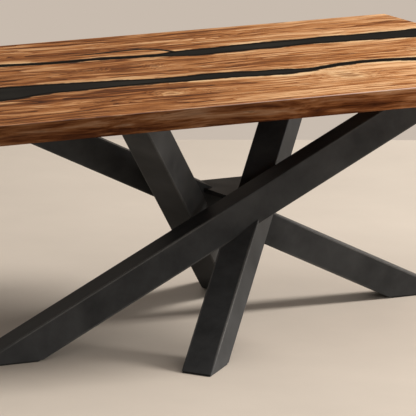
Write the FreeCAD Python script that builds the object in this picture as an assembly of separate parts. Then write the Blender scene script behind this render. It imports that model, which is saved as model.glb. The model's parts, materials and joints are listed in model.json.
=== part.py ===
import FreeCAD, Part
import math
import os

V = FreeCAD.Vector

# Epoxy resin dining table: three live-edge wood slabs joined by two black resin rivers,
# carried by four crossing square steel tubes.
# Frame: +X along the length, +Y towards the far long side, +Z up.
# The origin is on the floor under the middle of the top. All sizes are in millimetres.

# Top
table_length = 2000.0
table_width = 1000.0
table_height = 750.0
top_thickness = 57.0
arris_radius = 3.0
river_lean = 5.0

# Edges of the two rivers, as offsets across the table at even stations along its length
front_river_front = [-196, -214, -208, -201, -172, -165, -162, -158, -161, -168, -168,
                     -182, -185, -168, -139, -132, -141, -186, -226, -246, -238]
front_river_back = [-28, -34, -38, -41, -48, -57, -70, -84, -99, -104, -97,
                    -114, -124, -138, -114, -102, -112, -138, -184, -202, -206]
rear_river_front = [205, 216, 210, 200, 208, 221, 210, 201, 203, 190, 184,
                    155, 157, 164, 166, 176, 171, 163, 154, 147, 152]
rear_river_back = [240, 246, 238, 232, 244, 254, 235, 223, 225, 220, 211,
                   229, 231, 243, 245, 246, 253, 247, 247, 251, 256]

# Narrow crack that runs back from the rear river beside a finger of wood: station and offset
crack_line = [(7.7, 287.0), (8.7, 288.0), (9.8, 295.0), (10.4, 286.0), (10.7, 250.0), (10.82, 205.0)]
crack_width = 16.0

# Steel tube
tube_size = 90.0
tube_wall = 3.0
tube_corner = 4.0

# Legs: middle of the foot, middle of the top end and turn about the tube's own line.
# The base has two-fold symmetry about base_x.
base_x = 100.0
long_foot = (-782.0, -118.0)
long_head = (767.0, -90.0)
long_twist = 6.1
cross_foot = (-319.0, -431.0)
cross_head = (498.0, 341.0)
cross_twist = 7.3

# Feet
pad_height = 5.0
pad_inset = 3.0
foot_plate_thickness = 4.0

# Hub plate that ties the two pairs of legs
hub_top = 388.0
hub_thickness = 12.0
hub_left = -15.0
hub_right = 186.0
hub_back = 150.0
hub_front = -84.0
hub_corner_x = 33.0
hub_corner_y = 76.0

# Mounting plates under the top, let in flush
plate_thickness = 8.0
plate_end_margin = 10.0
plate_side_margin = 40.0
plate_corner = 12.0
pocket_gap = 0.5
bolt_side = 22.0
long_bolt_pitch = 180.0
cross_bolt_pitch = 90.0

# Bolts, washers and threaded inserts of the mounting plates, round bars drawn with few sides
fastener_sides = 8
bolt_radius = 4.0
bolt_hole_gap = 0.6
bolt_length = 26.0
bolt_head_across = 13.0
bolt_head_height = 5.3
washer_radius = 8.0
washer_thickness = 1.6
insert_wall = 2.0
insert_length = 20.0
insert_end_gap = 2.0

# Stiffening channels let into the underside
channel_pitch = 270.0
channel_length = 800.0
channel_width = 50.0
channel_depth = 20.0
channel_wall = 4.0
channel_gap = 0.6
screw_rows = [-370.0, -250.0, -30.0, 80.0, 315.0, 375.0]
screw_radius = 3.0
screw_hole_gap = 0.5
screw_length = 16.0
screw_head_radius = 5.5
screw_head_height = 3.0

# Values that follow from the sizes above
underside = table_height - top_thickness
half_length = table_length / 2.0
half_width = table_width / 2.0
tube_bottom = pad_height + foot_plate_thickness
reach = table_length * 2.0
overrun = 10.0
skin = 1.0


def level(z0, z1):
    """Everything between two heights."""
    return Part.makeBox(reach * 2, reach * 2, z1 - z0, V(-reach, -reach, z0))


def peg(x, y, z, radius, height):
    """An upright bar of few sides, for fasteners and the holes that take them."""
    spots = []
    for n in range(fastener_sides + 1):
        turn = 2 * math.pi * n / fastener_sides
        spots.append(V(x + radius * math.cos(turn), y + radius * math.sin(turn), z))
    return Part.Face(Part.makePolygon(spots)).extrude(V(0, 0, height))


def group(shapes):
    return Part.makeCompound(shapes)


def largest(shape):
    return sorted(shape.Solids, key=lambda s: s.Volume)[-1]


def half_turn(shape):
    """The same piece on the other side of the base's centre."""
    other = shape.copy()
    other.rotate(V(base_x, 0, 0), V(0, 0, 1), 180)
    return other


# Legs

def leg_frame(foot, head, twist):
    """Point on the tube's line, and its along, across and upward directions."""
    start = V(foot[0] + base_x, foot[1], 0)
    end = V(head[0] + base_x, head[1], underside)
    along = (end - start).normalize()
    across = V(along.y, -along.x, 0).normalize()
    upward = across.cross(along)
    turn = math.radians(twist)
    turned = across * math.cos(turn) + upward * math.sin(turn)
    raised = upward * math.cos(turn) - across * math.sin(turn)
    return start, along, turned, raised


def square_bar(frame, size, corner):
    """A square bar along the leg's line, well past both ends."""
    start, along, across, upward = frame
    base = start - along * half_length
    half = size / 2.0
    spots = []
    for a, b in ((-1, -1), (1, -1), (1, 1), (-1, 1)):
        spots.append(base + across * (a * half) + upward * (b * half))
    face = Part.Face(Part.makePolygon(spots + [spots[0]]))
    bar = face.extrude(along * reach)
    if corner > 0:
        long_edges = [edge for edge in bar.Edges if edge.Length > size * 2]
        bar = bar.makeFillet(corner, long_edges)
    return bar


long_frame = leg_frame(long_foot, long_head, long_twist)
cross_frame = leg_frame(cross_foot, cross_head, cross_twist)
long_bar = square_bar(long_frame, tube_size, tube_corner)
cross_bar = square_bar(cross_frame, tube_size, tube_corner)
long_core = square_bar(long_frame, tube_size - 2 * tube_wall, 0)
cross_core = square_bar(cross_frame, tube_size - 2 * tube_wall, 0)

tube_span = level(tube_bottom, underside)
long_leg = long_bar.common(tube_span).cut(long_core)
cross_leg = cross_bar.common(tube_span).cut(cross_core).cut(long_bar)

parts = {}
parts["long_leg_front"] = largest(long_leg)
parts["cross_leg_front"] = largest(cross_leg)
parts["long_leg_rear"] = half_turn(parts["long_leg_front"])
parts["cross_leg_rear"] = half_turn(parts["cross_leg_front"])

# Feet: a plate closes each tube, and a thin pad stands on the floor
plate_span = level(pad_height, tube_bottom)
pad_span = level(0, pad_height)
for kind, frame, bar in (("long", long_frame, long_bar), ("cross", cross_frame, cross_bar)):
    foot_plate = largest(bar.common(plate_span))
    pad_bar = square_bar(frame, tube_size - 2 * pad_inset, 0)
    pad = largest(pad_bar.common(pad_span))
    parts[kind + "_foot_plate_front"] = foot_plate
    parts[kind + "_foot_plate_rear"] = half_turn(foot_plate)
    parts[kind + "_pad_front"] = pad
    parts[kind + "_pad_rear"] = half_turn(pad)

# Hub plate, cut to fit the legs that it ties together
hub_outline = [(hub_left, hub_front), (hub_right, hub_front), (hub_right, hub_back),
               (hub_corner_x, hub_back), (hub_left, hub_corner_y)]
hub_spots = [V(base_x + x, y, hub_top - hub_thickness) for x, y in hub_outline]
hub_face = Part.Face(Part.makePolygon(hub_spots + [hub_spots[0]]))
hub = hub_face.extrude(V(0, 0, hub_thickness))
for bar in (long_bar, cross_bar, half_turn(long_bar)):
    hub = hub.cut(bar)
parts["hub_plate"] = largest(hub)

# Mounting plates

def plate_shape(centre, heading, length, width, corner, z0, height):
    """A flat plate with clipped corners, turned to its heading."""
    box = Part.makeBox(length, width, height, V(-length / 2.0, -width / 2.0, 0))
    uprights = []
    for edge in box.Edges:
        ends = edge.Vertexes
        if abs(ends[0].Point.z - ends[1].Point.z) > height / 2.0:
            uprights.append(edge)
    box = box.makeChamfer(corner, uprights)
    box.rotate(V(0, 0, 0), V(0, 0, 1), heading)
    box.translate(V(centre[0], centre[1], z0))
    return box


def plan_heading(frame):
    return math.degrees(math.atan2(frame[1].y, frame[1].x))


def bolt_spots(centre, heading, pitch):
    turn = math.radians(heading)
    side = tube_size / 2.0 + bolt_side
    spots = []
    for a in (-pitch / 2.0, pitch / 2.0):
        for b in (-side, side):
            x = centre[0] + a * math.cos(turn) - b * math.sin(turn)
            y = centre[1] + a * math.sin(turn) + b * math.cos(turn)
            spots.append((x, y))
    return spots


all_bolts = []
pockets = []
plate_width = tube_size + 2 * plate_side_margin
for kind, frame, head, pitch in (("long", long_frame, long_head, long_bolt_pitch),
                                 ("cross", cross_frame, cross_head, cross_bolt_pitch)):
    centre = (head[0] + base_x, head[1])
    heading = plan_heading(frame)
    plate_length = tube_size / frame[1].z + 2 * plate_end_margin
    plate = plate_shape(centre, heading, plate_length, plate_width, plate_corner,
                        underside, plate_thickness)
    pocket = plate_shape(centre, heading, plate_length + 2 * pocket_gap,
                         plate_width + 2 * pocket_gap, plate_corner + pocket_gap,
                         underside, plate_thickness)
    spots = bolt_spots(centre, heading, pitch)
    for x, y in spots:
        plate = plate.cut(peg(x, y, underside - skin, bolt_radius + bolt_hole_gap,
                               plate_thickness + 2 * skin))
    parts[kind + "_mount_plate_front"] = plate
    parts[kind + "_mount_plate_rear"] = half_turn(plate)
    pockets.append(pocket)
    pockets.append(half_turn(pocket))
    all_bolts.extend(spots)
    all_bolts.extend([(2 * base_x - x, -y) for x, y in spots])

# Bolts with washers below each plate, and threaded inserts in the wood above it
insert_floor = underside + plate_thickness
insert_radius = bolt_radius + insert_wall
bolts = []
washers = []
inserts = []
wood_holes = []
for x, y in all_bolts:
    washer = peg(x, y, underside - washer_thickness, washer_radius, washer_thickness)
    washer = washer.cut(peg(x, y, underside - washer_thickness - skin, bolt_radius,
                             washer_thickness + 2 * skin))
    washers.append(washer)
    head_floor = underside - washer_thickness - bolt_head_height
    corners = []
    for n in range(7):
        turn = math.radians(60 * n)
        radius = bolt_head_across / math.sqrt(3)
        corners.append(V(x + radius * math.cos(turn), y + radius * math.sin(turn), head_floor))
    head = Part.Face(Part.makePolygon(corners)).extrude(V(0, 0, bolt_head_height))
    shank = peg(x, y, head_floor + bolt_head_height, bolt_radius, bolt_length)
    bolts.append(head.fuse(shank).removeSplitter())
    sleeve = peg(x, y, insert_floor, insert_radius, insert_length)
    inserts.append(sleeve.cut(peg(x, y, insert_floor - skin, bolt_radius,
                                   insert_length + 2 * skin)))
    wood_holes.append(peg(x, y, insert_floor - skin, insert_radius,
                           insert_length + insert_end_gap + skin))
parts["mount_bolts"] = group(bolts)
parts["mount_washers"] = group(washers)
parts["mount_inserts"] = group(inserts)

# Stiffening channels, open side up, with their screws and inserts

def channel_bar(x, grow):
    """A channel bar; grow widens every wall for the groove that takes it."""
    half = channel_width / 2.0
    inner = half - channel_wall
    top = underside + channel_depth + grow
    web = underside + channel_wall
    outline = [(-half - grow, underside), (half + grow, underside), (half + grow, top),
               (inner - grow, top), (inner - grow, web), (-inner + grow, web),
               (-inner + grow, top), (-half - grow, top)]
    start = -channel_length / 2.0 - grow
    spots = [V(x + a, start, b) for a, b in outline]
    face = Part.Face(Part.makePolygon(spots + [spots[0]]))
    return face.extrude(V(0, channel_length + 2 * grow, 0))


screws = []
screw_inserts = []
grooves = []
screw_insert_radius = screw_radius + insert_wall
for number, name in ((-1, "left"), (0, "middle"), (1, "right")):
    x = base_x + number * channel_pitch
    channel = channel_bar(x, 0)
    grooves.append(channel_bar(x, channel_gap))
    for y in screw_rows:
        channel = channel.cut(peg(x, y, underside - skin, screw_radius + screw_hole_gap,
                                   channel_wall + 2 * skin))
        head = peg(x, y, underside - screw_head_height, screw_head_radius, screw_head_height)
        shank = peg(x, y, underside, screw_radius, screw_length)
        screws.append(head.fuse(shank).removeSplitter())
        floor = underside + channel_wall
        sleeve = peg(x, y, floor, screw_insert_radius, screw_length)
        screw_inserts.append(sleeve.cut(peg(x, y, floor - skin, screw_radius,
                                             screw_length + 2 * skin)))
        wood_holes.append(peg(x, y, floor - skin, screw_insert_radius,
                               screw_length + insert_end_gap + skin))
    parts["channel_" + name] = channel
parts["channel_screws"] = group(screws)
parts["channel_inserts"] = group(screw_inserts)

# Top: one blank with eased outer edges, split by the rivers

blank = Part.makeBox(table_length, table_width, top_thickness,
                     V(-half_length, -half_width, underside))
level_edges = []
for edge in blank.Edges:
    ends = edge.Vertexes
    if abs(ends[0].Point.z - ends[1].Point.z) < 1:
        level_edges.append(edge)
blank = blank.makeFillet(arris_radius, level_edges)


def station_x(number):
    """Place along the table of a river station; the outer stations lie a little past its ends."""
    run = half_length + overrun
    return -run + 2 * run * number / (len(front_river_front) - 1)


def smooth_edge(spots):
    curve = Part.BSplineCurve()
    curve.interpolate(spots)
    return curve.toShape()


def river_wire(front, back, z, lean):
    """Closed outline of a river at one height."""
    front_spots = [V(station_x(n), y + lean, z) for n, y in enumerate(front)]
    back_spots = [V(station_x(n), y - lean, z) for n, y in enumerate(back)]
    right = Part.makeLine(front_spots[-1], back_spots[-1])
    left = Part.makeLine(back_spots[0], front_spots[0])
    return Part.Wire([smooth_edge(front_spots), right, smooth_edge(back_spots), left])


def river_body(front, back):
    """A river with leaning walls, a little deeper than the top."""
    top = river_wire(front, back, table_height + skin, 0)
    bottom = river_wire(front, back, underside - skin, river_lean)
    return Part.makeLoft([bottom, top], True, True)


def crack_body():
    """A narrow wedge that closes to a point at its tip."""
    z = underside - skin
    near = []
    far = []
    for n, (station, y) in enumerate(crack_line):
        half = 0 if n == 0 else crack_width / 2.0
        x = station_x(station)
        near.append(V(x - half, y - half, z))
        far.append(V(x + half, y + half, z))
    end = Part.makeLine(near[-1], far[-1])
    face = Part.Face(Part.Wire([smooth_edge(near), end, smooth_edge(far)]))
    return face.extrude(V(0, 0, top_thickness + 2 * skin))


front_mould = river_body(front_river_front, front_river_back)
rear_mould = river_body(rear_river_front, rear_river_back).fuse(crack_body())

tools = pockets + grooves + wood_holes
front_river = blank.common(front_mould)
rear_river = blank.common(rear_mould)
slabs = blank.cut(front_mould).cut(rear_mould)
slabs = sorted(slabs.Solids, key=lambda s: s.Volume)[-3:]
slabs = sorted(slabs, key=lambda s: s.CenterOfMass.y)

for name, body in (("front_slab", slabs[0]), ("middle_slab", slabs[1]), ("rear_slab", slabs[2]),
                   ("front_river", front_river), ("rear_river", rear_river)):
    box = body.BoundBox
    near = [t for t in tools if t.BoundBox.intersect(box)]
    parts[name] = largest(body.cut(near))

os.makedirs("parts", exist_ok=True)
for name, shape in parts.items():
    shape.exportStep("parts/" + name + ".step")
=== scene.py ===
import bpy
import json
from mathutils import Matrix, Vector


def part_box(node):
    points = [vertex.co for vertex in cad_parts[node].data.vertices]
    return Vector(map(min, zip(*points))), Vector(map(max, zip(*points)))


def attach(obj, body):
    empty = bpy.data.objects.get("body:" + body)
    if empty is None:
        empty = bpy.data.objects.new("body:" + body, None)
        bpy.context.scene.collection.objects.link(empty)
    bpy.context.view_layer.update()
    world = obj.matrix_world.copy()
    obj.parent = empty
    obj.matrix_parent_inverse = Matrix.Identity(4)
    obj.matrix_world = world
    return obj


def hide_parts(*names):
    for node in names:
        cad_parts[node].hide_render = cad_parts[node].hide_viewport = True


bl_info = {
    "name": "River Dining Table",
    "version": (1, 0, 0),
    "blender": (4, 5, 0),
    "location": "View3D > Sidebar > River Table",
    "description": "Dresses a resin river dining table on a steel spider base",
    "category": "Object",
}

import json
import math

import bmesh
import bpy
import numpy as np
from mathutils import Matrix, Vector

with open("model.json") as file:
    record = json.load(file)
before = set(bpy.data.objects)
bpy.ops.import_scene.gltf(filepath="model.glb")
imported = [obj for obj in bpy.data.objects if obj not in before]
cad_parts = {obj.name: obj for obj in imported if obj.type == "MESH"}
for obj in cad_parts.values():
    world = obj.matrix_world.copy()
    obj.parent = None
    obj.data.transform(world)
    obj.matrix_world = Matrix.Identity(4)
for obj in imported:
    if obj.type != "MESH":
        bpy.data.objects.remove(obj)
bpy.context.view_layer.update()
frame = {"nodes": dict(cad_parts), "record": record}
NODES = frame["nodes"]
MM = 0.001

WOOD_NODES = ("front_slab", "middle_slab", "rear_slab")
RESIN_NODES = ("front_river", "rear_river")
PAD_NODES = ("long_pad_front", "long_pad_rear", "cross_pad_front", "cross_pad_rear")
INSERT_NODES = ("mount_inserts", "channel_inserts")
BOLT_NODES = ("mount_bolts", "mount_washers")
SCREW_NODES = ("channel_screws",)
STEEL_NODES = tuple(s["node"] for s in frame["record"]["subparts"]
                    if s["material_slot"] == "black_steel")

TOP_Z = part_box("middle_slab")[1].z
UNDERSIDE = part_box("middle_slab")[0].z
HALF_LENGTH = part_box("middle_slab")[1].x
HALF_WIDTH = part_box("rear_slab")[1].y
HUB_CENTRE = (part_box("hub_plate")[0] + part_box("hub_plate")[1]) / 2

# River edges, in millimetres

# Each edge: its slab, the lowest and highest offset where it is looked for, and the slab's side of it
RIVER_EDGES = (
    ("front_front", "front_slab", -490, 0, -1),
    ("front_back", "middle_slab", -490, 50, 1),
    ("rear_front", "middle_slab", 50, 490, -1),
    ("rear_back", "rear_slab", 50, 262, 1),
)
EDGE_STATIONS = 65
# Points this near the top's face lie on it
TOP_SKIN = 0.5
# A point this much deeper in the slab than one beside it belongs to the crack
CRACK_DEPTH = 8.0
CRACK_REACH = 18.0

# Wood, in millimetres

# Offset of each board's pith from the middle of the table
PITHS = (-310, 20, 380)
# Edges where the second and the third board start
BOARD_STARTS = ("front_back", "rear_front")
# Bends of the grain: length, width and how far they shift it across; a share of that goes up and down
BENDS = ((760, 190, 100), (260, 50, 14))
BEND_DETAIL = 2.0
BEND_LIFT = 0.6
# Layers of the figure: length along the grain, width across it, detail, roughness and weight in the tone
# Real fibres are under 1 mm wide, drawn at 5 mm so that they show
FIGURE = (
    ("bands", 1100, 110, 2.0, 0.50, 0.45),
    ("streaks", 420, 22, 5.0, 0.60, 0.65),
    ("feather", 130, 9, 4.0, 0.62, 0.48),
    ("fibres", 260, 5, 4.0, 0.60, 0.34),
    ("stains", 150, 9, 7.0, 0.70, 0.0),
    ("sap", 240, 60, 5.0, 0.50, 0.0),
    ("pockets", 70, 26, 5.0, 0.60, 0.0),
    ("mottle", 190, 11, 6.0, 0.60, 0.0),
)
# Steps along and across from layer to layer in the noise, so that none repeats another
LAYER_STEP = (7.3, 3.1)
# Knots and burls: place along, place across, half length, half width and how pale the rim is
KNOTS = (
    (-540, -310, 36, 13, 0.3), (-269, -296, 42, 26, 1.0), (-128, -318, 40, 14, 0.4),
    (337, -262, 66, 60, 1.0), (352, -140, 58, 36, 1.0), (-90, 60, 22, 34, 0.3),
    (-297, 84, 36, 16, 0.2), (190, 92, 72, 22, 0.2), (24, 405, 54, 11, 0.0),
    (490, 409, 17, 9, 0.4), (-760, 60, 40, 20, 0.6), (760, -20, 40, 20, 0.6),
)
# How much the feather layer frays a knot, how strong its heart and rim are, and what a pale rim takes
# from the heart
KNOT_FRAY = 1.6
HEART_SHARE = 0.85
HEART_LOSS = 0.55
RIM_SHARE = 0.9
# Curls in a rim, as radians for each half size of the knot
CURL_TURN = 10.0
# Real growth rings are about 5 mm wide, drawn at 15 mm so that they show
RING_WIDTH = 15.0
RING_SHARPNESS = 2.2
# How far knots and streaks push the rings
KNOT_PUSH = 60
STREAK_PUSH = 24

# Ranges: two values of what is read, then what they become, which is 0 and 1 where it isn't given

# Most of a noise lies between these
NOISE = (0.3, 0.7)
# Marks of a knot, by the distance from its middle in half sizes of the knot
KNOT_SWELL = (3.2, 0.7)
KNOT_HEART = (1.35, 0.95)
KNOT_RIM = (2.3, 1.5)
# How pale a rim is, by the sine that makes its curls
CURLS = (-0.6, 0.6, 0.2, 1.0)
# Depth of the pith under the top, by the bands
PITH_DEPTH = (*NOISE, 20 * MM, 160 * MM)
# What a ring adds to the tone, by how far a face looks across the table
RING_TONE = (0.5, 0.9, -0.16, -0.03)
# From the darkest wood to the lightest, by the sum of the layers
TONE = (0.74, 1.16)
# Dark stains, by their layer
STAINS = (0.57, 0.68, 0.0, 0.7)
# Width of the sapwood, by its layer, and how pale it is, by the distance from the river in that width
SAP_WIDTH = (0.40, 0.66, 2 * MM, 62 * MM)
SAP_FADE = (1.2, 0.5, 0.0, 0.8)
# Width of the cambium and the bark pockets, by their layer, and how softly they end
BARK_WIDTH = (0.42, 0.70, 6 * MM, 17 * MM)
BARK_FADE = (0.0, 3 * MM, 0.0, 0.95)
# Dark clouds on the sawn edges, by the mottle
EDGE_CLOUDS = (0.42, 0.68, 0.0, 0.45)
# From sawn edge to top by how far a face looks up, and how much of the arris between gets the painted
# highlight, as greys
FLAT = (0.3, 0.9)
ARRIS_HIGHLIGHT = ((0.10, "#000000"), (0.40, "#BCBCBC"), (0.90, "#BCBCBC"), (0.985, "#000000"))
# Painted light and sheen: the boards are painted paler towards their right front corner: weight of the
# offset against the length, reach, what that adds to the tone, and the gains of the top, of the sawn edges
# and of the arris highlight
PAINTED_LIGHT_SLANT = -0.65
PAINTED_LIGHT_REACH = (-0.3 * HALF_LENGTH, 0.9 * HALF_LENGTH)
PAINTED_LIGHT_TONE = 0.13
PAINTED_LIGHT_TOP = (0.0, 1.0, 1.0, 1.22)
PAINTED_LIGHT_EDGE = (0.3, 1.0, 0.86, 1.55)
PAINTED_LIGHT_ARRIS = (0.0, 1.0, 0.25, 1.7)
WOOD_ROUGHNESS = (*NOISE, 0.46, 0.62)

# Resin: length and width of its clouds in millimetres, and the painted shadow line beside the wood
RESIN_CLOUD = (250, 71.4)
RESIN_SHADOW_LINE = (17 * MM, 9 * MM)
RESIN_ROUGHNESS = (*NOISE, 0.36, 0.46)

# Steel, in millimetres: real peel is about 1 mm wide, drawn at 3 mm so that it shows
PEEL_SIZE = 3
PATCH_SIZE = 120
ARRIS_RADIUS = 6
STEEL_ROUGHNESS = (*NOISE, 0.32, 0.44)
# Painted highlight on the arrises, by the turn of the normal, off the floor, off the crossing and higher up
GLINT_TURN = (0.997, 0.965, 0.0, 0.85)
GLINT_FLOOR = (15 * MM, 70 * MM)
GLINT_HUB = (230 * MM, 330 * MM)
GLINT_UPPER = (330 * MM, 450 * MM, 1.0, 0.3)

# Small parts, in millimetres
ZINC_MOTTLE = 2
ZINC_ROUGHNESS = (*NOISE, 0.3, 0.45)
# Real tool marks are about 0.2 mm apart, drawn at 0.8 mm so that they show
TOOL_MARKS = (20, 20, 0.8)
# Real rubber grain is under 0.5 mm, drawn at 2 mm so that it shows
RUBBER_GRAIN = 2

# Fasteners: sides and steps of their cones, and shares of a head's radius or height
HEX_SIDES = 6
WASHER_SIDES = 32
BUTTON_SIDES = 28
BUTTON_STEPS = 3
BOLT_RIM = 0.86
BOLT_RIM_HEIGHT = 0.2
BUTTON_CROWN = 0.62
KEY_RADIUS = 0.36
KEY_DROP = 1.45
# Points of a solid that are nearer than this are one, in millimetres
MERGE = 0.01

# Camera of the photograph: place in metres, turn, tilt and roll in degrees, focal length in pixels
CAMERA_PLACE = Vector((-9.42719, -14.15461, 3.90442))
CAMERA_TURN = 33.841
CAMERA_TILT = -11.804
CAMERA_ROLL = 1.939
CAMERA_FOCAL = 6192.57
PHOTO_WIDTH = 416
SENSOR_WIDTH = 36.0
CAMERA_REACH = 100.0

# Floor: heading of its far edge in degrees, size of its mottle in millimetres, and the shade of that
FLOOR_TURN = 24.6
FLOOR_MOTTLE = 625
FLOOR_SHADE = (*NOISE, 0.95, 1.04)

# Lamps: place and aim, width and depth in metres, power in watts and colour
LAMPS = (
    ("key_light", (10.0, -1.9, 6.2), (0.0, 0.0, 0.4), 2.6, 2.6, 1550, "#FFF9F2"),
    ("ceiling_light", (0.4, -1.8, 4.4), (0.4, -1.6, 0.0), 5.5, 5.5, 84, "#FFF9F2"),
    ("front_light", (0.6, -5.4, 1.6), (0.2, 0.0, 0.45), 4.0, 1.2, 55, "#FFF9F2"),
    ("side_light", (5.2, -0.2, 0.6), (0.0, -0.2, 0.3), 1.6, 0.8, 95, "#FFFBF6"),
)
AMBIENT = "#FFF9F2"
AMBIENT_STRENGTH = 0.19

# Settings that many nodes share
SMOOTH = {"interpolation_type": "SMOOTHSTEP"}
SMOOTHER = {"interpolation_type": "SMOOTHERSTEP"}
IN_COLOUR = {"data_type": "RGBA"}


# Small helpers

def linear(code):
    """sRGB hex colour as linear red, green, blue and alpha."""
    values = []
    for n in (1, 3, 5):
        c = int(code[n:n + 2], 16) / 255
        values.append(c / 12.92 if c <= 0.04045 else ((c + 0.055) / 1.055) ** 2.4)
    return (*values, 1.0)


def join(tree, node, inputs):
    """Sets or links a node's inputs, given by name or number, or as a row in their order."""
    pairs = inputs.items() if isinstance(inputs, dict) else enumerate(inputs)
    for key, value in pairs:
        if isinstance(value, bpy.types.NodeSocket):
            tree.links.new(value, node.inputs[key])
        else:
            node.inputs[key].default_value = value


def add(tree, kind, settings=None, inputs=()):
    """Adds a node, sets its settings, and sets or links its inputs."""
    node = tree.nodes.new(kind)
    for key, value in (settings or {}).items():
        setattr(node, key, value)
    join(tree, node, inputs)
    return node


def new_material(name):
    """An empty material with its shader joined to its output, and the place that its patterns read."""
    material = bpy.data.materials.new(name)
    material.use_nodes = True
    tree = material.node_tree
    tree.nodes.clear()
    shader = add(tree, "ShaderNodeBsdfPrincipled")
    add(tree, "ShaderNodeOutputMaterial", None, {"Surface": shader.outputs["BSDF"]})
    place = add(tree, "ShaderNodeTexCoord").outputs["Object"]
    return material, tree, shader, place


def fill_ramp(ramp, stops):
    """Sets the stops of a colour ramp from (place, hex) pairs."""
    elements = ramp.color_ramp.elements
    while len(elements) < len(stops):
        elements.new(0.5)
    for element, (place, code) in zip(elements, stops):
        element.position = place
        element.color = linear(code)


def fill_curve(node, values):
    """Runs a float curve through evenly spaced values from 0 to 1."""
    points = node.mapping.curves[0].points
    points[0].location = (0, values[0])
    points[1].location = (1, values[-1])
    for n in range(1, len(values) - 1):
        points.new(n / (len(values) - 1), values[n])
    node.mapping.update()


def scale_of(*sizes):
    """Scale of a pattern whose sizes along X, Y and Z are given in millimetres."""
    return tuple(1 / (size * MM) for size in sizes)


def dress(names, material):
    """Gives CAD nodes a finished material."""
    for name in names:
        slots = NODES[name].data.materials
        slots.clear()
        slots.append(material)


# River edges, read from the slabs

def river_edge(name, low, high, side):
    """Offsets of a slab's river edge at even stations along the table, as shares of the width."""
    spots = np.array([v.co for v in NODES[name].data.vertices])
    spots = spots[spots[:, 2] > TOP_Z - TOP_SKIN * MM]
    spots = spots[(spots[:, 1] > low) & (spots[:, 1] < high)]
    # Points of the crack lie deeper in the slab than their neighbours on the edge
    deeper = side * (spots[:, 1, None] - spots[None, :, 1]) > CRACK_DEPTH * MM
    beside = np.abs(spots[:, 0, None] - spots[None, :, 0]) < CRACK_REACH * MM
    spots = spots[~np.any(deeper & beside, axis=1)]
    spots = spots[np.argsort(spots[:, 0])]
    stations = np.linspace(-HALF_LENGTH, HALF_LENGTH, EDGE_STATIONS)
    offsets = np.interp(stations, spots[:, 0], spots[:, 1])
    return [float(v) / (2 * HALF_WIDTH) + 0.5 for v in offsets]


def shore(tree, axes):
    """The four river edges as places across the table, and the distance from the nearest, in metres."""
    share = add(tree, "ShaderNodeMapRange", None, (axes[0], -HALF_LENGTH, HALF_LENGTH)).outputs[0]
    edges = {}
    nearest = 2 * HALF_WIDTH
    for name, slab, low, high, side in RIVER_EDGES:
        curve = add(tree, "ShaderNodeFloatCurve", None, {"Value": share})
        fill_curve(curve, river_edge(slab, low * MM, high * MM, side))
        edge = add(tree, "ShaderNodeMapRange", {"clamp": False},
                   (curve.outputs[0], 0.0, 1.0, -HALF_WIDTH, HALF_WIDTH)).outputs[0]
        gap = add(tree, "ShaderNodeMath", {"operation": "SUBTRACT"}, (axes[1], edge)).outputs[0]
        gap = add(tree, "ShaderNodeMath", {"operation": "ABSOLUTE"}, (gap,)).outputs[0]
        nearest = add(tree, "ShaderNodeMath", {"operation": "MINIMUM"}, (nearest, gap)).outputs[0]
        edges[name] = edge
    return edges, nearest


# Figure of the wood

def bend_grain(tree, place):
    """Places shifted so that the grain bends slowly along each board and wavers a little everywhere."""
    bent = place
    for length, width, shift in BENDS:
        spot = add(tree, "ShaderNodeMapping", None,
                   {"Vector": place, "Scale": scale_of(length, width, width)}).outputs[0]
        bend = add(tree, "ShaderNodeTexNoise", None,
                   {"Vector": spot, "Scale": 1.0, "Detail": BEND_DETAIL}).outputs["Color"]
        bend = add(tree, "ShaderNodeVectorMath", {"operation": "SUBTRACT"},
                   (bend, (0.5, 0.5, 0.5))).outputs[0]
        bent = add(tree, "ShaderNodeVectorMath", {"operation": "MULTIPLY_ADD"},
                   (bend, (0.0, shift * MM, shift * MM * BEND_LIFT), bent)).outputs[0]
    return bent


def draw_figure(tree, bent):
    """Layers of noise drawn out along the grain, by name, and the tone that they make together."""
    figure = {}
    tone = 0.0
    for number, (name, length, width, detail, roughness, weight) in enumerate(FIGURE):
        spot = add(tree, "ShaderNodeMapping", None,
                   {"Vector": bent, "Scale": scale_of(length, width, width),
                    "Location": (LAYER_STEP[0] * number, LAYER_STEP[1] * number, 0.0)}).outputs[0]
        figure[name] = add(tree, "ShaderNodeTexNoise", None,
                           {"Vector": spot, "Scale": 1.0, "Detail": detail,
                            "Roughness": roughness}).outputs[0]
        if weight:
            tone = add(tree, "ShaderNodeMath", {"operation": "MULTIPLY_ADD"},
                       (figure[name], weight, tone)).outputs[0]
    return figure, tone


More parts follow.
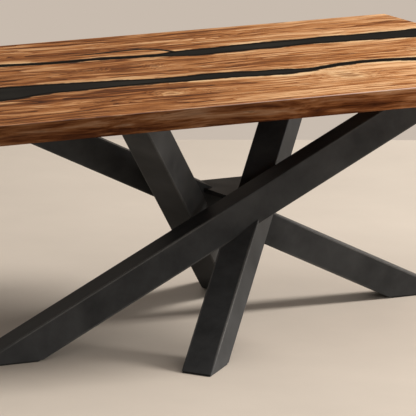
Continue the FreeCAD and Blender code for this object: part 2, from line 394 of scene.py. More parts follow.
def mark_knots(tree, bent, feather):
    """How far the rings swell round the knots and burls, and their dark hearts and pale, curly rims."""
    swell = heart = rim = 0.0
    for along, across, half_length, half_width, pale in KNOTS:
        middle = (along * MM, across * MM, TOP_Z)
        size = (half_length * MM, half_width * MM, half_width * MM)
        off = add(tree, "ShaderNodeVectorMath", {"operation": "SUBTRACT"}, (bent, middle)).outputs[0]
        off = add(tree, "ShaderNodeVectorMath", {"operation": "DIVIDE"}, (off, size)).outputs[0]
        reach = add(tree, "ShaderNodeVectorMath", {"operation": "LENGTH"}, (off,)).outputs["Value"]
        reach = add(tree, "ShaderNodeMath", {"operation": "MULTIPLY_ADD"},
                    (feather, KNOT_FRAY, reach)).outputs[0]
        near = add(tree, "ShaderNodeMapRange", SMOOTHER, (reach, *KNOT_SWELL)).outputs[0]
        swell = add(tree, "ShaderNodeMath", {"operation": "ADD"}, (swell, near)).outputs[0]
        dark = add(tree, "ShaderNodeMapRange", SMOOTH,
                   (reach, *KNOT_HEART, 0.0, HEART_SHARE - HEART_LOSS * pale)).outputs[0]
        heart = add(tree, "ShaderNodeMath", {"operation": "MAXIMUM"}, (heart, dark)).outputs[0]
        curl = add(tree, "ShaderNodeMath", {"operation": "MULTIPLY"}, (reach, CURL_TURN)).outputs[0]
        curl = add(tree, "ShaderNodeMath", {"operation": "SINE"}, (curl,)).outputs[0]
        curl = add(tree, "ShaderNodeMapRange", None, (curl, *CURLS)).outputs[0]
        light = add(tree, "ShaderNodeMapRange", SMOOTH,
                    (reach, *KNOT_RIM, 0.0, RIM_SHARE * pale)).outputs[0]
        light = add(tree, "ShaderNodeMath", {"operation": "MULTIPLY"}, (light, curl)).outputs[0]
        rim = add(tree, "ShaderNodeMath", {"operation": "MAXIMUM"}, (rim, light)).outputs[0]
    return swell, heart, rim


def board_pith(tree, across, edges):
    """Offset of the pith line, of which each board has its own."""
    pith = PITHS[0] * MM
    for name, before, after in zip(BOARD_STARTS, PITHS, PITHS[1:]):
        past = add(tree, "ShaderNodeMath", {"operation": "GREATER_THAN"}, (across, edges[name])).outputs[0]
        pith = add(tree, "ShaderNodeMath", {"operation": "MULTIPLY_ADD"},
                   (past, (after - before) * MM, pith)).outputs[0]
    return pith


def draw_rings(tree, bent, pith, swell, figure):
    """Late wood of the growth rings round the pith, cut flat, so that they show as long arches."""
    axes = add(tree, "ShaderNodeSeparateXYZ", None, (bent,)).outputs
    side = add(tree, "ShaderNodeMath", {"operation": "SUBTRACT"}, (axes[1], pith)).outputs[0]
    depth = add(tree, "ShaderNodeMapRange", None, (figure["bands"], *PITH_DEPTH)).outputs[0]
    lift = add(tree, "ShaderNodeMath", {"operation": "SUBTRACT"}, (axes[2], TOP_Z)).outputs[0]
    lift = add(tree, "ShaderNodeMath", {"operation": "ADD"}, (lift, depth)).outputs[0]
    cut = add(tree, "ShaderNodeCombineXYZ", None, (side, lift)).outputs[0]
    radius = add(tree, "ShaderNodeVectorMath", {"operation": "LENGTH"}, (cut,)).outputs["Value"]
    for source, push in ((swell, KNOT_PUSH), (figure["streaks"], STREAK_PUSH)):
        radius = add(tree, "ShaderNodeMath", {"operation": "MULTIPLY_ADD"},
                     (source, push * MM, radius)).outputs[0]
    ring = add(tree, "ShaderNodeMath", {"operation": "DIVIDE"}, (radius, RING_WIDTH * MM)).outputs[0]
    ring = add(tree, "ShaderNodeMath", {"operation": "FRACT"}, (ring,)).outputs[0]
    return add(tree, "ShaderNodeMath", {"operation": "POWER"}, (ring, RING_SHARPNESS)).outputs[0]


# Materials

def walnut(colours):
    """Oiled flat-sawn walnut: streaky honey and brown figure, burls, and pale sapwood by the rivers."""
    material, tree, shader, place = new_material("oiled_walnut")
    axes = add(tree, "ShaderNodeSeparateXYZ", None, (place,)).outputs
    normal = add(tree, "ShaderNodeNewGeometry").outputs["Normal"]
    facing = add(tree, "ShaderNodeSeparateXYZ", None, (normal,)).outputs
    edges, nearest = shore(tree, axes)
    bent = bend_grain(tree, place)
    figure, tone = draw_figure(tree, bent)
    swell, heart, rim = mark_knots(tree, bent, figure["feather"])
    late = draw_rings(tree, bent, board_pith(tree, axes[1], edges), swell, figure)

    # Rings hardly show on the long sawn edges, which cut along them
    sideways = add(tree, "ShaderNodeMath", {"operation": "ABSOLUTE"}, (facing[1],)).outputs[0]
    contrast = add(tree, "ShaderNodeMapRange", None, (sideways, *RING_TONE)).outputs[0]
    tone = add(tree, "ShaderNodeMath", {"operation": "MULTIPLY_ADD"}, (late, contrast, tone)).outputs[0]

    # Painted light and sheen: the boards are painted paler towards their right front corner
    corner = add(tree, "ShaderNodeMath", {"operation": "MULTIPLY_ADD"},
                 (axes[1], PAINTED_LIGHT_SLANT, axes[0])).outputs[0]
    pale = add(tree, "ShaderNodeMapRange", SMOOTH, (corner, *PAINTED_LIGHT_REACH)).outputs[0]
    tone = add(tree, "ShaderNodeMath", {"operation": "MULTIPLY_ADD"}, (pale, PAINTED_LIGHT_TONE, tone)).outputs[0]
    tone = add(tree, "ShaderNodeMapRange", None, (tone, *TONE)).outputs[0]

    ramp = add(tree, "ShaderNodeValToRGB", None, (tone,))
    fill_ramp(ramp, ((0.06, colours.wood_dark), (0.34, colours.wood_brown),
                     (0.60, colours.wood_honey), (0.96, colours.wood_light)))
    stain = add(tree, "ShaderNodeMapRange", SMOOTH, (figure["stains"], *STAINS)).outputs[0]
    colour = add(tree, "ShaderNodeMix", IN_COLOUR,
                 {0: stain, 6: ramp.outputs[0], 7: linear(colours.wood_dark)}).outputs[2]
    # Painted light: the top is painted brighter towards that corner
    painted_light_gain = add(tree, "ShaderNodeMapRange", None, (pale, *PAINTED_LIGHT_TOP)).outputs[0]
    colour = add(tree, "ShaderNodeVectorMath", {"operation": "SCALE"},
                 {0: colour, "Scale": painted_light_gain}).outputs[0]

    # Pale sapwood along the rivers, of uneven width, and in the curls of the burls
    width = add(tree, "ShaderNodeMapRange", None, (figure["sap"], *SAP_WIDTH)).outputs[0]
    sap = add(tree, "ShaderNodeMath", {"operation": "DIVIDE"}, (nearest, width)).outputs[0]
    sap = add(tree, "ShaderNodeMapRange", SMOOTH, (sap, *SAP_FADE)).outputs[0]
    sap = add(tree, "ShaderNodeMath", {"operation": "MAXIMUM"}, (sap, rim)).outputs[0]
    sap_ramp = add(tree, "ShaderNodeValToRGB", None, (tone,))
    fill_ramp(sap_ramp, ((0.15, colours.sap_brown), (0.50, colours.sap_cream), (0.85, colours.sap_light)))

    # A dark line of cambium along the live edge, and bark pockets that make it ragged
    width = add(tree, "ShaderNodeMapRange", None, (figure["pockets"], *BARK_WIDTH)).outputs[0]
    bark = add(tree, "ShaderNodeMath", {"operation": "SUBTRACT"}, (width, nearest)).outputs[0]
    bark = add(tree, "ShaderNodeMapRange", SMOOTH, (bark, *BARK_FADE)).outputs[0]
    for share, tint in ((sap, sap_ramp.outputs[0]), (heart, linear(colours.wood_knot)),
                        (bark, linear(colours.bark))):
        colour = add(tree, "ShaderNodeMix", IN_COLOUR, {0: share, 6: colour, 7: tint}).outputs[2]

    # Sawn edges go darker, partly as oiled sawn wood and partly as painted shade of upright faces that get
    # less light, and show a cloudy figure
    sawn = add(tree, "ShaderNodeMix", {**IN_COLOUR, "blend_type": "MULTIPLY"},
               {0: 1.0, 6: colour, 7: linear(colours.edge_shade_tint)}).outputs[2]
    cloud = add(tree, "ShaderNodeMapRange", SMOOTH, (figure["mottle"], *EDGE_CLOUDS)).outputs[0]
    sawn = add(tree, "ShaderNodeMix", IN_COLOUR,
               {0: cloud, 6: sawn, 7: linear(colours.edge_dark)}).outputs[2]
    # Painted light: the sawn edges are painted brighter towards that corner
    painted_light_gain = add(tree, "ShaderNodeMapRange", None, (pale, *PAINTED_LIGHT_EDGE)).outputs[0]
    sawn = add(tree, "ShaderNodeVectorMath", {"operation": "SCALE"}, {0: sawn, "Scale": painted_light_gain}).outputs[0]
    flat = add(tree, "ShaderNodeMapRange", None, (facing[2], *FLAT)).outputs[0]
    colour = add(tree, "ShaderNodeMix", IN_COLOUR, {0: flat, 6: sawn, 7: colour}).outputs[2]

    # Painted highlight on the arris between, strongest towards the painted-light corner
    arris = add(tree, "ShaderNodeValToRGB", None, (facing[2],))
    fill_ramp(arris, ARRIS_HIGHLIGHT)
    arris_highlight = add(tree, "ShaderNodeMapRange", None, (pale, *PAINTED_LIGHT_ARRIS)).outputs[0]
    arris_highlight = add(tree, "ShaderNodeMath", {"operation": "MULTIPLY"}, (arris.outputs[0], arris_highlight)).outputs[0]
    colour = add(tree, "ShaderNodeMix", IN_COLOUR,
                 {0: arris_highlight, 6: colour, 7: linear(colours.arris)}).outputs[2]

    rough = add(tree, "ShaderNodeMapRange", None, (figure["fibres"], *WOOD_ROUGHNESS)).outputs[0]
    bump = add(tree, "ShaderNodeBump", None,
               {"Height": figure["fibres"], "Strength": 0.25, "Distance": 0.4 * MM}).outputs[0]
    join(tree, shader, {"Base Color": colour, "Roughness": rough, "Normal": bump,
                        "IOR": 1.48, "Specular IOR Level": 0.02})
    return material


def resin(colours):
    """Cast epoxy tinted black and rubbed to a satin: dark and slightly cloudy, with a painted shadow line
    at its edges.
    """
    material, tree, shader, place = new_material("black_epoxy_resin")
    axes = add(tree, "ShaderNodeSeparateXYZ", None, (place,)).outputs
    nearest = shore(tree, axes)[1]
    length, width = RESIN_CLOUD
    spot = add(tree, "ShaderNodeMapping", None,
               {"Vector": place, "Scale": scale_of(length, width, width)}).outputs[0]
    cloud = add(tree, "ShaderNodeTexNoise", None, {"Vector": spot, "Scale": 1.0, "Detail": 4.0}).outputs[0]
    ramp = add(tree, "ShaderNodeValToRGB", None, (cloud,))
    fill_ramp(ramp, ((0.35, colours.resin_black), (0.70, colours.resin_grey)))
    # Painted shadow: a black band on the resin beside the wood
    rim = add(tree, "ShaderNodeMapRange", SMOOTH, (nearest, *RESIN_SHADOW_LINE)).outputs[0]
    colour = add(tree, "ShaderNodeMix", IN_COLOUR,
                 {0: rim, 6: ramp.outputs[0], 7: linear(colours.resin_shadow_line)}).outputs[2]
    rough = add(tree, "ShaderNodeMapRange", None, (cloud, *RESIN_ROUGHNESS)).outputs[0]
    join(tree, shader, {"Base Color": colour, "Roughness": rough,
                        "IOR": 1.5, "Specular IOR Level": 0.002})
    return material


def powder_coat(colours):
    """Black powder coat on steel: matte charcoal with a fine orange peel and painted highlights on its
    arrises.
    """
    material, tree, shader, place = new_material("black_powder_coat")
    peel = add(tree, "ShaderNodeTexNoise", None,
               {"Vector": place, "Scale": 1 / (PEEL_SIZE * MM), "Detail": 2.0}).outputs[0]
    patch = add(tree, "ShaderNodeTexNoise", None,
                {"Vector": place, "Scale": 1 / (PATCH_SIZE * MM), "Detail": 5.0,
                 "Roughness": 0.6}).outputs[0]
    ramp = add(tree, "ShaderNodeValToRGB", None, (patch,))
    fill_ramp(ramp, ((0.30, colours.steel_black), (0.72, colours.steel_charcoal)))

    # Painted highlight: arrises are found where a rounded normal turns away from the flat one, and painted
    # paler
    flat = add(tree, "ShaderNodeNewGeometry").outputs["Normal"]
    rounded = add(tree, "ShaderNodeBevel", {"samples": 8}, {"Radius": ARRIS_RADIUS * MM}).outputs[0]
    turn = add(tree, "ShaderNodeVectorMath", {"operation": "DOT_PRODUCT"}, (flat, rounded)).outputs["Value"]
    painted_glint = add(tree, "ShaderNodeMapRange", None, (turn, *GLINT_TURN)).outputs[0]
    # The painted highlight is left off at the feet and round the crossing, and weaker on the upper halves
    height = add(tree, "ShaderNodeSeparateXYZ", None, (place,)).outputs[2]
    off_hub = add(tree, "ShaderNodeVectorMath", {"operation": "DISTANCE"},
                  (place, tuple(HUB_CENTRE))).outputs["Value"]
    for source, limits in ((height, GLINT_FLOOR), (off_hub, GLINT_HUB), (height, GLINT_UPPER)):
        share = add(tree, "ShaderNodeMapRange", None, (source, *limits)).outputs[0]
        painted_glint = add(tree, "ShaderNodeMath", {"operation": "MULTIPLY"}, (painted_glint, share)).outputs[0]
    colour = add(tree, "ShaderNodeMix", IN_COLOUR,
                 {0: painted_glint, 6: ramp.outputs[0], 7: linear(colours.steel_glint)}).outputs[2]

    rough = add(tree, "ShaderNodeMapRange", None, (patch, *STEEL_ROUGHNESS)).outputs[0]
    bump = add(tree, "ShaderNodeBump", None,
               {"Height": peel, "Strength": 0.12, "Distance": 0.3 * MM}).outputs[0]
    join(tree, shader, {"Base Color": colour, "Roughness": rough, "Normal": bump,
                        "Specular IOR Level": 0.015})
    return material


def zinc(colours):
    """Zinc-plated steel: bright grey with a faint mottle."""
    material, tree, shader, place = new_material("zinc_plated_steel")
    mottle = add(tree, "ShaderNodeTexNoise", None,
                 {"Vector": place, "Scale": 1 / (ZINC_MOTTLE * MM), "Detail": 3.0}).outputs[0]
    ramp = add(tree, "ShaderNodeValToRGB", None, (mottle,))
    fill_ramp(ramp, ((0.3, colours.zinc_grey), (0.7, colours.zinc_light)))
    rough = add(tree, "ShaderNodeMapRange", None, (mottle, *ZINC_ROUGHNESS)).outputs[0]
    join(tree, shader, {"Base Color": ramp.outputs[0], "Roughness": rough, "Metallic": 1.0})
    return material


def brass(colours):
    """Turned brass: warm yellow with fine tool marks."""
    material, tree, shader, place = new_material("turned_brass")
    spot = add(tree, "ShaderNodeMapping", None,
               {"Vector": place, "Scale": scale_of(*TOOL_MARKS)}).outputs[0]
    marks = add(tree, "ShaderNodeTexNoise", None, {"Vector": spot, "Scale": 1.0, "Detail": 2.0}).outputs[0]
    ramp = add(tree, "ShaderNodeValToRGB", None, (marks,))
    fill_ramp(ramp, ((0.3, colours.brass_dark), (0.7, colours.brass_light)))
    join(tree, shader, {"Base Color": ramp.outputs[0], "Roughness": 0.35, "Metallic": 1.0})
    return material


def rubber(colours):
    """Moulded black rubber: dull, with a fine grain."""
    material, tree, shader, place = new_material("moulded_rubber")
    grain = add(tree, "ShaderNodeTexNoise", None,
                {"Vector": place, "Scale": 1 / (RUBBER_GRAIN * MM), "Detail": 3.0}).outputs[0]
    ramp = add(tree, "ShaderNodeValToRGB", None, (grain,))
    fill_ramp(ramp, ((0.3, colours.rubber_black), (0.7, colours.rubber_grey)))
    bump = add(tree, "ShaderNodeBump", None,
               {"Height": grain, "Strength": 0.2, "Distance": 0.2 * MM}).outputs[0]
    join(tree, shader, {"Base Color": ramp.outputs[0], "Roughness": 0.8, "Normal": bump})
    return material


# Sizes and colours that a user would change

class TableSizes(bpy.types.PropertyGroup):
    """Sizes of the fasteners and the stage."""

    bolt_across: bpy.props.FloatProperty(
        name="Bolt Head", description="Width across the flats of a mounting bolt's head",
        default=13 * MM, unit="LENGTH")
    bolt_height: bpy.props.FloatProperty(
        name="Bolt Height", description="Height of a mounting bolt's head",
        default=5.3 * MM, unit="LENGTH")
    washer_radius: bpy.props.FloatProperty(
        name="Washer Radius", description="Outer radius of a bolt's washer",
        default=8 * MM, unit="LENGTH")
    washer_thickness: bpy.props.FloatProperty(
        name="Washer Thickness", description="Thickness of a bolt's washer",
        default=1.6 * MM, unit="LENGTH")
    screw_radius: bpy.props.FloatProperty(
        name="Screw Head", description="Radius of a channel screw's head",
        default=5.5 * MM, unit="LENGTH")
    screw_height: bpy.props.FloatProperty(
        name="Screw Height", description="Height of a channel screw's head",
        default=3 * MM, unit="LENGTH")
    floor_side: bpy.props.FloatProperty(
        name="Floor Side", description="Length of each side of the square floor",
        default=14.0, unit="LENGTH")
    floor_behind: bpy.props.FloatProperty(
        name="Floor Behind", description="How far the floor goes on behind the table",
        default=2.72, unit="LENGTH")


class TableColours(bpy.types.PropertyGroup):
    """Finish colours as sRGB hex values."""

    wood_dark: bpy.props.StringProperty(
        name="Wood Dark", description="Darkest streaks of the wood", default="#3A1D0D")
    wood_brown: bpy.props.StringProperty(
        name="Wood Brown", description="Brown ground of the wood", default="#784521")
    wood_honey: bpy.props.StringProperty(
        name="Wood Honey", description="Honey ground of the wood", default="#AC7445")
    wood_light: bpy.props.StringProperty(
        name="Wood Light", description="Lightest streaks of the wood", default="#D8AD82")
    wood_knot: bpy.props.StringProperty(
        name="Knot", description="Heart of a knot", default="#22120A")
    sap_brown: bpy.props.StringProperty(
        name="Sapwood Dark", description="Dark lines in the sapwood", default="#A06C42")
    sap_cream: bpy.props.StringProperty(
        name="Sapwood", description="Ground of the sapwood", default="#D2A272")
    sap_light: bpy.props.StringProperty(
        name="Sapwood Light", description="Lightest sapwood", default="#EBCBA0")
    # Partly painted shade: darkens the upright sawn edges, which get less light than the top
    edge_shade_tint: bpy.props.StringProperty(
        name="Edge Tint", description="Tint over the sawn edges", default="#A09A9D")
    edge_dark: bpy.props.StringProperty(
        name="Edge Dark", description="Dark clouds on the sawn edges", default="#45281A")
    # Painted highlight colour on the top's arris
    arris: bpy.props.StringProperty(
        name="Arris", description="Rubbed arris of the top", default="#CDB7B0")
    bark: bpy.props.StringProperty(
        name="Bark", description="Bark pockets in the live edges", default="#120B07")
    # Painted shadow line on the resin beside the wood
    resin_shadow_line: bpy.props.StringProperty(
        name="Resin Rim", description="Resin beside the wood", default="#030303")
    resin_black: bpy.props.StringProperty(
        name="Resin Black", description="Ground of the resin", default="#161615")
    resin_grey: bpy.props.StringProperty(
        name="Resin Grey", description="Clouds in the resin", default="#2A2926")
    steel_black: bpy.props.StringProperty(
        name="Steel Black", description="Dark of the powder coat", default="#343536")
    steel_charcoal: bpy.props.StringProperty(
        name="Steel Charcoal", description="Light of the powder coat", default="#474849")
    # Painted highlight colour on the arrises of the powder coat
    steel_glint: bpy.props.StringProperty(
        name="Steel Arris", description="Rubbed arrises of the powder coat", default="#8C8A87")
    zinc_grey: bpy.props.StringProperty(
        name="Zinc Grey", description="Dark of the zinc plating", default="#8C8D90")
    zinc_light: bpy.props.StringProperty(
        name="Zinc Light", description="Light of the zinc plating", default="#B9BABD")
    brass_dark: bpy.props.StringProperty(
        name="Brass Dark", description="Dark of the brass", default="#A07A38")
    brass_light: bpy.props.StringProperty(
        name="Brass Light", description="Light of the brass", default="#D4AE62")
    rubber_black: bpy.props.StringProperty(
        name="Rubber Black", description="Dark of the rubber", default="#0C0C0C")
    rubber_grey: bpy.props.StringProperty(
        name="Rubber Grey", description="Light of the rubber", default="#1A1A1A")
    floor: bpy.props.StringProperty(
        name="Floor", description="Pale floor", default="#D0C6BA")
    backdrop: bpy.props.StringProperty(
        name="Backdrop", description="Pale backdrop", default="#C8BBAE")


# Fasteners by geometry nodes

def island_centres(name):
    """Middle, on the table's underside, of each separate solid in a CAD node."""
    mesh = bmesh.new()
    mesh.from_mesh(NODES[name].data)
    bmesh.ops.remove_doubles(mesh, verts=mesh.verts, dist=MERGE * MM)
    left = set(mesh.verts)
    centres = []
    while left:
        grown = [left.pop()]
        island = []
        while grown:
            vert = grown.pop()
            island.append(vert.co.copy())
            for edge in vert.link_edges:
                other = edge.other_vert(vert)
                if other in left:
                    left.remove(other)
                    grown.append(other)
        xs = [c.x for c in island]
        ys = [c.y for c in island]
        centres.append(((min(xs) + max(xs)) / 2, (min(ys) + max(ys)) / 2, UNDERSIDE))
    mesh.free()
    return sorted(centres)


def fastener_tree(name, inputs, build, material):
    """A tree that sets one fastener at every point of a mesh; build returns the fastener's socket."""
    tree = bpy.data.node_groups.new(name, "GeometryNodeTree")
    tree.interface.new_socket("Points", in_out="INPUT", socket_type="NodeSocketGeometry")
    for label in inputs:
        tree.interface.new_socket(label, in_out="INPUT", socket_type="NodeSocketFloat")
    tree.interface.new_socket("Fasteners", in_out="OUTPUT", socket_type="NodeSocketGeometry")
    given = add(tree, "NodeGroupInput")
    shape = build(tree, given)
    points = add(tree, "GeometryNodeMeshToPoints", None, {"Mesh": given.outputs["Points"]})
    copies = add(tree, "GeometryNodeInstanceOnPoints", None,
                 {"Points": points.outputs[0], "Instance": shape})
    whole = add(tree, "GeometryNodeRealizeInstances", None, {0: copies.outputs[0]})
    done = add(tree, "GeometryNodeSetMaterial", None,
               {"Geometry": whole.outputs[0], "Material": material})
    add(tree, "NodeGroupOutput", None, {0: done.outputs[0]})
    return tree


def bolt_shape(tree, given):
    """A hex head with a turned-down rim, on its washer, pointing down from the plate."""
    height = given.outputs["Head Height"]
    washer = given.outputs["Washer Radius"]
    corner = add(tree, "ShaderNodeMath", {"operation": "DIVIDE"},
                 (given.outputs["Head Across"], math.sqrt(3))).outputs[0]
    rim = add(tree, "ShaderNodeMath", {"operation": "MULTIPLY"}, (corner, BOLT_RIM)).outputs[0]
    body_height = add(tree, "ShaderNodeMath", {"operation": "MULTIPLY"},
                      (height, 1 - BOLT_RIM_HEIGHT)).outputs[0]
    rim_height = add(tree, "ShaderNodeMath", {"operation": "MULTIPLY"},
                     (height, BOLT_RIM_HEIGHT)).outputs[0]
    joined = add(tree, "GeometryNodeJoinGeometry")
    low = 0.0
    for sides, top, bottom, depth in (
            (WASHER_SIDES, washer, washer, given.outputs["Washer Thickness"]),
            (HEX_SIDES, corner, corner, body_height),
            (HEX_SIDES, corner, rim, rim_height)):
        low = add(tree, "ShaderNodeMath", {"operation": "SUBTRACT"}, (low, depth)).outputs[0]
        spot = add(tree, "ShaderNodeCombineXYZ", None, {2: low}).outputs[0]
        cone = add(tree, "GeometryNodeMeshCone", None,
                   {"Vertices": sides, "Radius Top": top, "Radius Bottom": bottom,
                    "Depth": depth}).outputs[0]
        cone = add(tree, "GeometryNodeTransform", None, {"Geometry": cone, "Translation": spot}).outputs[0]
        tree.links.new(cone, joined.inputs[0])
    return joined.outputs[0]


def screw_shape(tree, given):
    """A button head with a hexagon socket, pointing down from the channel."""
    radius = given.outputs["Head Radius"]
    height = given.outputs["Head Height"]
    crown = add(tree, "ShaderNodeMath", {"operation": "MULTIPLY"}, (radius, BUTTON_CROWN)).outputs[0]
    key = add(tree, "ShaderNodeMath", {"operation": "MULTIPLY"}, (radius, KEY_RADIUS)).outputs[0]
    cones = []
    for sides, steps, top, bottom, drop in ((BUTTON_SIDES, BUTTON_STEPS, radius, crown, 1.0),
                                            (HEX_SIDES, 1, key, key, KEY_DROP)):
        low = add(tree, "ShaderNodeMath", {"operation": "MULTIPLY"}, (height, -drop)).outputs[0]
        spot = add(tree, "ShaderNodeCombineXYZ", None, {2: low}).outputs[0]
        cone = add(tree, "GeometryNodeMeshCone", None,
                   {"Vertices": sides, "Side Segments": steps, "Radius Top": top,
                    "Radius Bottom": bottom, "Depth": height}).outputs[0]
        cone = add(tree, "GeometryNodeTransform", None, {"Geometry": cone, "Translation": spot}).outputs[0]
        cones.append(cone)
    return add(tree, "GeometryNodeMeshBoolean", {"operation": "DIFFERENCE"}, cones).outputs[0]


def fit_fasteners(name, node_names, build, sizes, material):
    """Makes one mesh of all fasteners of a kind and lets it stand for its CAD nodes."""
    seats = bpy.data.meshes.new(name + "_seats")
    seats.from_pydata(island_centres(node_names[0]), [], [])
    maker = bpy.data.objects.new(name + "_maker", seats)
    bpy.context.scene.collection.objects.link(maker)
    tree = fastener_tree(name + "_tree", list(sizes), build, material)
    modifier = maker.modifiers.new(name, "NODES")
    modifier.node_group = tree
    for item in tree.interface.items_tree:
        if item.in_out == "INPUT" and item.name in sizes:
            modifier[item.identifier] = sizes[item.name]
    graph = bpy.context.evaluated_depsgraph_get()
    mesh = bpy.data.meshes.new_from_object(maker.evaluated_get(graph))
    mesh.name = name
    bpy.data.objects.remove(maker)
    if not mesh.polygons:
        raise RuntimeError(name + " came out empty")
    piece = bpy.data.objects.new(name, mesh)
    bpy.context.scene.collection.objects.link(piece)
    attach(piece, "root")
    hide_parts(*node_names)


# Stage

def camera_axes():
    """Right, up and forward of the camera."""
    turn, tilt, roll = (math.radians(v) for v in (CAMERA_TURN, CAMERA_TILT, CAMERA_ROLL))
    forward = Vector((math.sin(turn) * math.cos(tilt), math.cos(turn) * math.cos(tilt), math.sin(tilt)))
    right = Vector((math.cos(turn), -math.sin(turn), 0.0))
    up = right.cross(forward)
    rolled_right = right * math.cos(roll) + up * math.sin(roll)
    rolled_up = up * math.cos(roll) - right * math.sin(roll)
    return rolled_right, rolled_up, forward


def place_camera():
    """A long lens at the photograph's viewing angle."""
    right, up, forward = camera_axes()
    data = bpy.data.cameras.new("photo_camera")
    data.sensor_width = SENSOR_WIDTH
    data.lens = CAMERA_FOCAL / PHOTO_WIDTH * data.sensor_width
    data.clip_end = CAMERA_REACH
    camera = bpy.data.objects.new("photo_camera", data)
    turn = Matrix((right, up, -forward)).transposed().to_4x4()
    camera.matrix_world = Matrix.Translation(CAMERA_PLACE) @ turn
    bpy.context.scene.collection.objects.link(camera)
    bpy.context.scene.camera = camera


def pale_floor(colours):
    """Plain pale floor: almost even, with a faint large mottle."""
    material, tree, shader, place = new_material("pale_floor")
    mottle = add(tree, "ShaderNodeTexNoise", None,
                 {"Vector": place, "Scale": 1 / (FLOOR_MOTTLE * MM), "Detail": 6.0,
                  "Roughness": 0.6}).outputs[0]
    shade = add(tree, "ShaderNodeMapRange", None, (mottle, *FLOOR_SHADE)).outputs[0]
    colour = add(tree, "ShaderNodeVectorMath", {"operation": "SCALE"},
                 {0: linear(colours.floor)[:3], "Scale": shade}).outputs[0]
    join(tree, shader, {"Base Color": colour, "Roughness": 0.7})
    return material


def lay_floor(sizes, colours):
    """A pale floor whose far edge lies level in the photograph's view."""
    heading = math.radians(FLOOR_TURN)
    away = Vector((math.sin(heading), math.cos(heading), 0.0))
    along = Vector((away.y, -away.x, 0.0))
    half = sizes.floor_side / 2
    far = sizes.floor_behind
    near = far - sizes.floor_side
    corners = [along * side + away * depth
               for side, depth in ((-half, near), (half, near), (half, far), (-half, far))]
    data = bpy.data.meshes.new("floor")
    data.from_pydata(corners, [], [(0, 1, 2, 3)])
    data.materials.append(pale_floor(colours))
    floor = bpy.data.objects.new("floor", data)
    bpy.context.scene.collection.objects.link(floor)


def area_light(name, place, aim, width, depth, power, colour):
    """A rectangular lamp that looks from its place to its aim."""
    data = bpy.data.lights.new(name, "AREA")
    data.shape = "RECTANGLE"
    data.size = width
    data.size_y = depth
    data.energy = power
    data.color = linear(colour)[:3]
    light = bpy.data.objects.new(name, data)
    turn = (Vector(aim) - Vector(place)).to_track_quat("-Z", "Y").to_matrix().to_4x4()
    light.matrix_world = Matrix.Translation(place) @ turn
    bpy.context.scene.collection.objects.link(light)


def set_light(colours):
    """Soft studio light, mostly from the right and above, with a pale backdrop."""
    for lamp in LAMPS:
        area_light(*lamp)
    world = bpy.data.worlds.new("pale_studio")
    bpy.context.scene.world = world
    world.use_nodes = True
    tree = world.node_tree
    tree.nodes.clear()
    path = add(tree, "ShaderNodeLightPath").outputs
    seen = path["Is Camera Ray"]
    for ray in ("Is Glossy Ray", "Is Transmission Ray"):
        seen = add(tree, "ShaderNodeMath", {"operation": "MAXIMUM"}, (seen, path[ray])).outputs[0]
    ambient = add(tree, "ShaderNodeBackground", None,
                  {"Color": linear(AMBIENT), "Strength": AMBIENT_STRENGTH}).outputs[0]
    backdrop = add(tree, "ShaderNodeBackground", None,
                   {"Color": linear(colours.backdrop), "Strength": 1.0}).outputs[0]
    mixed = add(tree, "ShaderNodeMixShader", None, (seen, ambient, backdrop)).outputs[0]
    add(tree, "ShaderNodeOutputWorld", None, {"Surface": mixed})
    bpy.context.scene.view_settings.view_transform = "Standard"


# Operators

class TABLE_OT_dress_slabs(bpy.types.Operator):
    """Give the three slabs their oiled walnut"""

    bl_idname = "river_table.dress_slabs"
    bl_label = "Dress Slabs"

    def execute(self, context):
        dress(WOOD_NODES, walnut(context.scene.table_colours))
        return {"FINISHED"}


class TABLE_OT_pour_rivers(bpy.types.Operator):
    """Give the two rivers their black resin"""

    bl_idname = "river_table.pour_rivers"
    bl_label = "Pour Rivers"

    def execute(self, context):
        dress(RESIN_NODES, resin(context.scene.table_colours))
        return {"FINISHED"}


class TABLE_OT_coat_base(bpy.types.Operator):
    """Powder coat the steel base, its plates and the channels"""

    bl_idname = "river_table.coat_base"
    bl_label = "Coat Base"

    def execute(self, context):
        dress(STEEL_NODES, powder_coat(context.scene.table_colours))
        return {"FINISHED"}


class TABLE_OT_fit_pads(bpy.types.Operator):
    """Give the pads their rubber and the inserts their brass"""

    bl_idname = "river_table.fit_pads"
    bl_label = "Fit Pads"

    def execute(self, context):
        dress(PAD_NODES, rubber(context.scene.table_colours))
        dress(INSERT_NODES, brass(context.scene.table_colours))
        return {"FINISHED"}


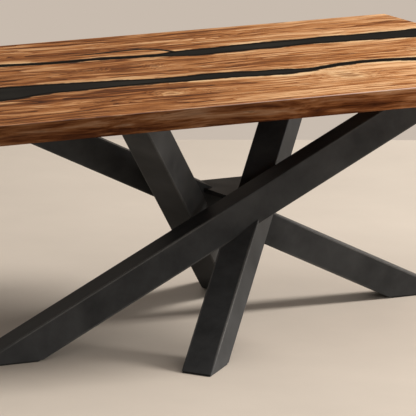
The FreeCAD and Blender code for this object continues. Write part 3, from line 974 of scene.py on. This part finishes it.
class TABLE_OT_fit_fasteners(bpy.types.Operator):
    """Fit the mounting bolts and the channel screws"""

    bl_idname = "river_table.fit_fasteners"
    bl_label = "Fit Fasteners"

    def execute(self, context):
        sizes = context.scene.table_sizes
        plated = zinc(context.scene.table_colours)
        fit_fasteners("mounting_bolts", BOLT_NODES, bolt_shape,
                      {"Head Across": sizes.bolt_across, "Head Height": sizes.bolt_height,
                       "Washer Radius": sizes.washer_radius, "Washer Thickness": sizes.washer_thickness},
                      plated)
        fit_fasteners("button_screws", SCREW_NODES, screw_shape,
                      {"Head Radius": sizes.screw_radius, "Head Height": sizes.screw_height}, plated)
        return {"FINISHED"}


class TABLE_OT_set_stage(bpy.types.Operator):
    """Lay the floor, set the light and place the camera"""

    bl_idname = "river_table.set_stage"
    bl_label = "Set Stage"

    def execute(self, context):
        lay_floor(context.scene.table_sizes, context.scene.table_colours)
        set_light(context.scene.table_colours)
        place_camera()
        return {"FINISHED"}


# Panel and registration

class TABLE_PT_river_table(bpy.types.Panel):
    """Lists the table's steps, sizes and colours"""

    bl_idname = "TABLE_PT_river_table"
    bl_label = "River Table"
    bl_space_type = "VIEW_3D"
    bl_region_type = "UI"
    bl_category = "River Table"

    def draw(self, context):
        for operator in OPERATORS:
            self.layout.operator(operator.bl_idname)
        for name in TableSizes.__annotations__:
            self.layout.prop(context.scene.table_sizes, name)
        for name in TableColours.__annotations__:
            self.layout.prop(context.scene.table_colours, name)


OPERATORS = (TABLE_OT_dress_slabs, TABLE_OT_pour_rivers, TABLE_OT_coat_base, TABLE_OT_fit_pads,
             TABLE_OT_fit_fasteners, TABLE_OT_set_stage)
CLASSES = (TableSizes, TableColours, *OPERATORS, TABLE_PT_river_table)


def register():
    """Registers the classes and gives the scene its sizes and colours."""
    for item in CLASSES:
        bpy.utils.register_class(item)
    bpy.types.Scene.table_sizes = bpy.props.PointerProperty(type=TableSizes)
    bpy.types.Scene.table_colours = bpy.props.PointerProperty(type=TableColours)


def unregister():
    """Takes away what register added."""
    del bpy.types.Scene.table_colours
    del bpy.types.Scene.table_sizes
    for item in reversed(CLASSES):
        bpy.utils.unregister_class(item)


def main():
    """Dresses the table step by step."""
    register()
    bpy.ops.river_table.dress_slabs()
    bpy.ops.river_table.pour_rivers()
    bpy.ops.river_table.coat_base()
    bpy.ops.river_table.fit_pads()
    bpy.ops.river_table.fit_fasteners()
    bpy.ops.river_table.set_stage()


if __name__ == "__main__":
    main()
